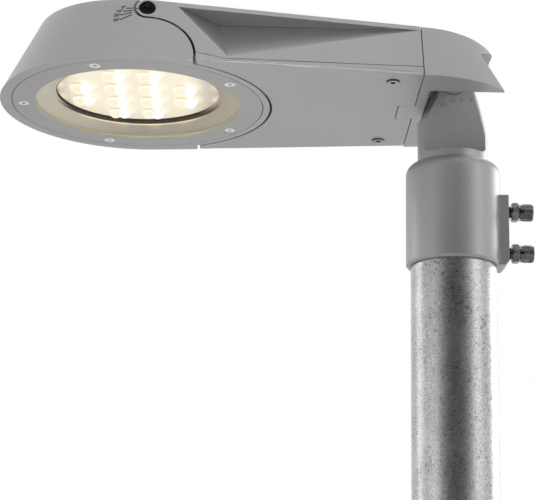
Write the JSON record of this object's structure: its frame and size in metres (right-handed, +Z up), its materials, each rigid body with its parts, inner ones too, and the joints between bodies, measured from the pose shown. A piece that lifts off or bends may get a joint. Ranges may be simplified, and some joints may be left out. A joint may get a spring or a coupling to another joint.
{
  "type": "post top light",
  "caption": "Post top street light: a round LED head that tilts in a forked tapered arm, whose hooded knuckle turns on a clamp sleeve fixed to a galvanised post.",
  "frame": {"origin": "centre of the post's lower end", "axes": "+Z up along the post, -X along the arm towards the lamp head, Y along the hinge axes"},
  "size_m": [0.3791, 0.1954, 0.5043],
  "materials": {
    "powder_grey": "fine textured powder coat on die-cast aluminium",
    "galvanised": "hot-dip galvanised steel with faint spangle",
    "zinc_steel": "stainless steel",
    "black_steel": "blackened steel",
    "clear_glass": "flat tempered glass",
    "seal_rubber": "matte silicone",
    "reflector_white": "satin white reflector",
    "lens_clear": "clear moulded lenses",
    "led_phosphor": "phosphor over the chips",
    "board_white": "white solder mask",
    "bare_aluminium": "bare machined",
    "driver_white": "moulded case",
    "terminal_grey": "moulded block",
    "surge_red": "moulded case",
    "gland_black": "nylon",
    "disc_fibre": "friction fibre"
  },
  "bodies": {
    "mast": {"post_tube": "galvanised", "neck_sleeve": "powder_grey", "clamp_screws": "black_steel", "lock_nuts": "zinc_steel"},
    "arm": {"arm_housing": "powder_grey", "bottom_cover": "powder_grey", "cover_gasket": "seal_rubber", "cover_screws": "black_steel", "led_driver": "driver_white", "terminal_block": "terminal_grey", "surge_protector": "surge_red", "rear_hood": "powder_grey", "hood_screws": "zinc_steel", "cable_gland": "gland_black", "knuckle_pin": "zinc_steel", "friction_discs": "disc_fibre"},
    "head": {"head_shell": "powder_grey", "glass_frame": "powder_grey", "ring_screws": "zinc_steel", "cover_glass": "clear_glass", "glass_seal": "seal_rubber", "reflector_cone": "reflector_white", "reflector_seal": "seal_rubber", "lens_plate": "lens_clear", "led_chips": "led_phosphor", "led_board": "board_white", "heat_spreader": "bare_aluminium", "board_screws": "zinc_steel", "pivot_screws": "black_steel"}
  },
  "joints": [
    {"name": "arm_tilt", "type": "hinge", "parent": "mast", "child": "arm", "pos_m": [0, 0, 0.47], "axis": [0, 1, 0], "range_deg": [0, 15]},
    {"name": "head_tilt", "type": "hinge", "parent": "arm", "child": "head", "pos_m": [-0.2164, 0, 0.4937], "axis": [0, 1, 0], "range_deg": [0, 30]}
  ]
}
